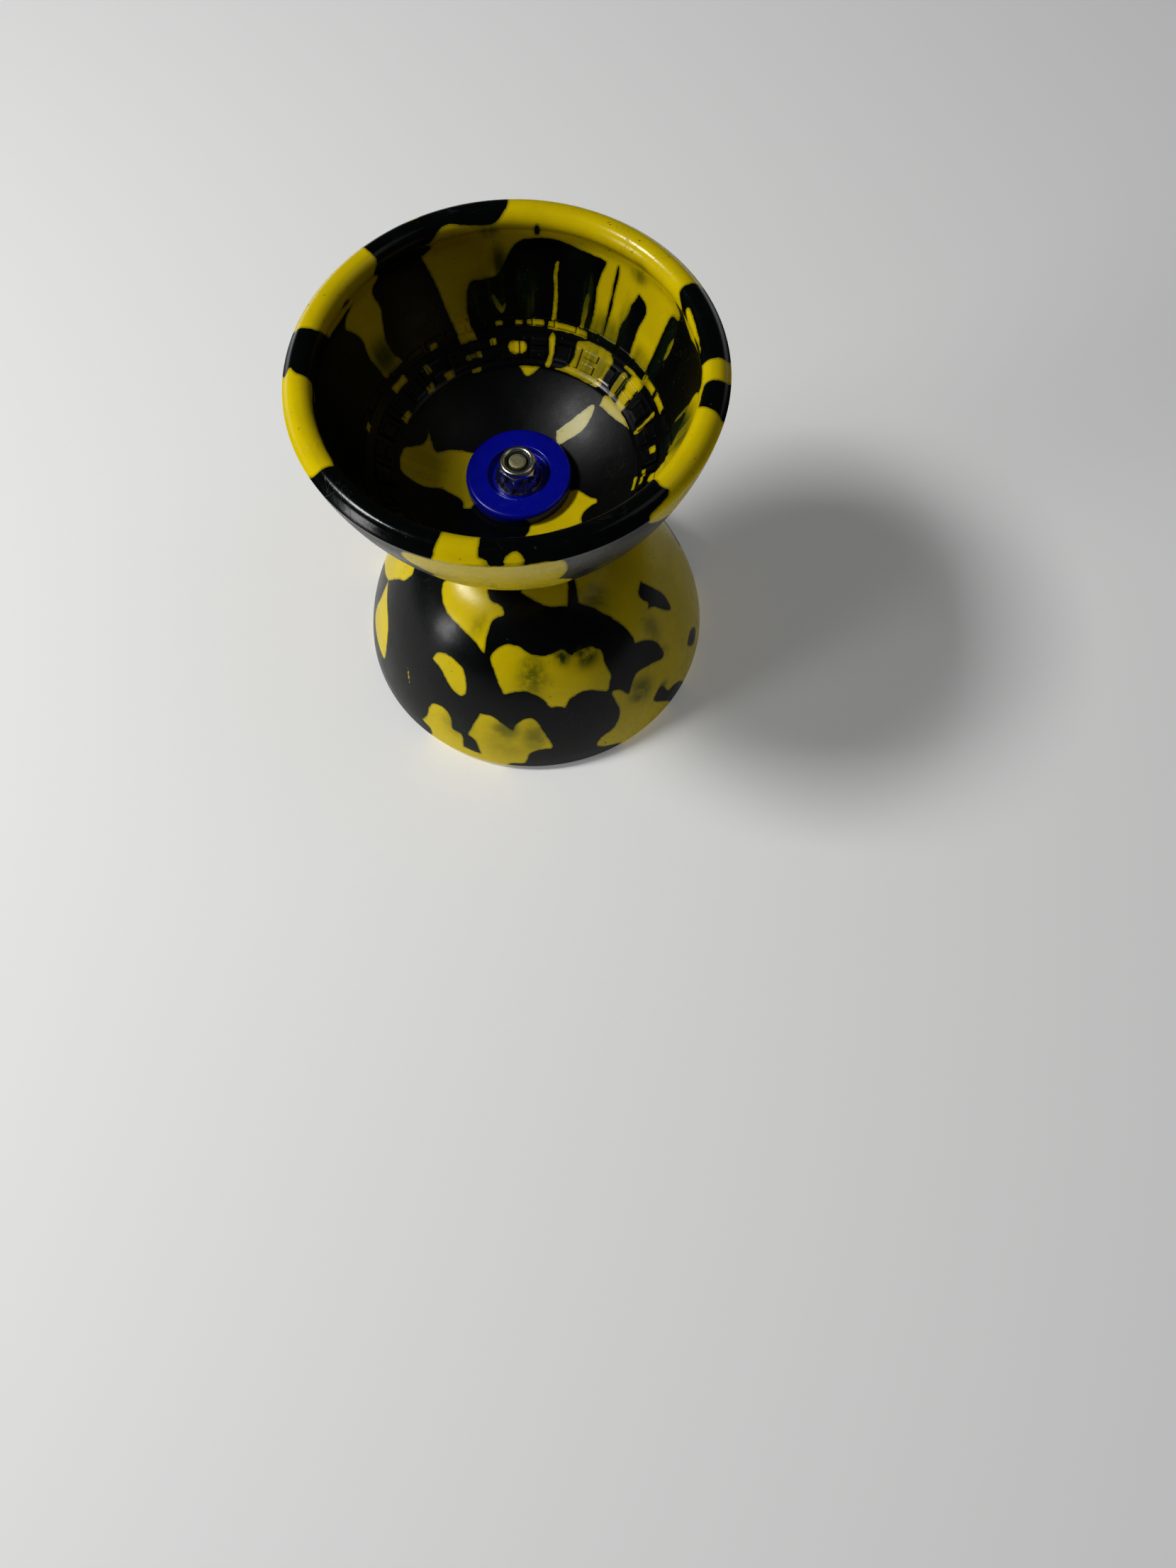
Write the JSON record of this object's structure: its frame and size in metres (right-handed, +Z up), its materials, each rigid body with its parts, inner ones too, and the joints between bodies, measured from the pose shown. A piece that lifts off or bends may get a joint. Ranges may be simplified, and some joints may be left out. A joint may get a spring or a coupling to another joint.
{
  "type": "diabolo",
  "caption": "Two-headed juggling diabolo: marbled rubber cups bolted back to back on a fixed metal axle with a string groove.",
  "frame": {"origin": "centre of the rim circle that the diabolo stands on", "axes": "+Z up along the axle, from the lower rim to the upper rim; X and Y are any two directions across it"},
  "size_m": [0.116, 0.116, 0.135],
  "materials": {
    "marbled_rubber": "satin black and yellow marbled rubber, scuffed",
    "hub_plastic": "matt moulded core",
    "blue_plastic": "glossy moulded blue",
    "washer_steel": "stamped, zinc plated",
    "nut_plating": "bright plated, lightly tarnished",
    "nylon": "dark nylon",
    "rod_steel": "threaded, worn plating at the ends",
    "turned_steel": "turned, polished by the string"
  },
  "bodies": {
    "root": {"upper_cup": "marbled_rubber", "lower_cup": "marbled_rubber", "upper_hub_bush": "hub_plastic", "lower_hub_bush": "hub_plastic", "upper_cup_washer": "blue_plastic", "lower_cup_washer": "blue_plastic", "upper_seat_washer": "washer_steel", "lower_seat_washer": "washer_steel", "upper_lock_nut": "nut_plating", "lower_lock_nut": "nut_plating", "upper_nut_insert": "nylon", "lower_nut_insert": "nylon", "threaded_rod": "rod_steel", "axle_sleeve": "turned_steel"}
  },
  "joints": []
}
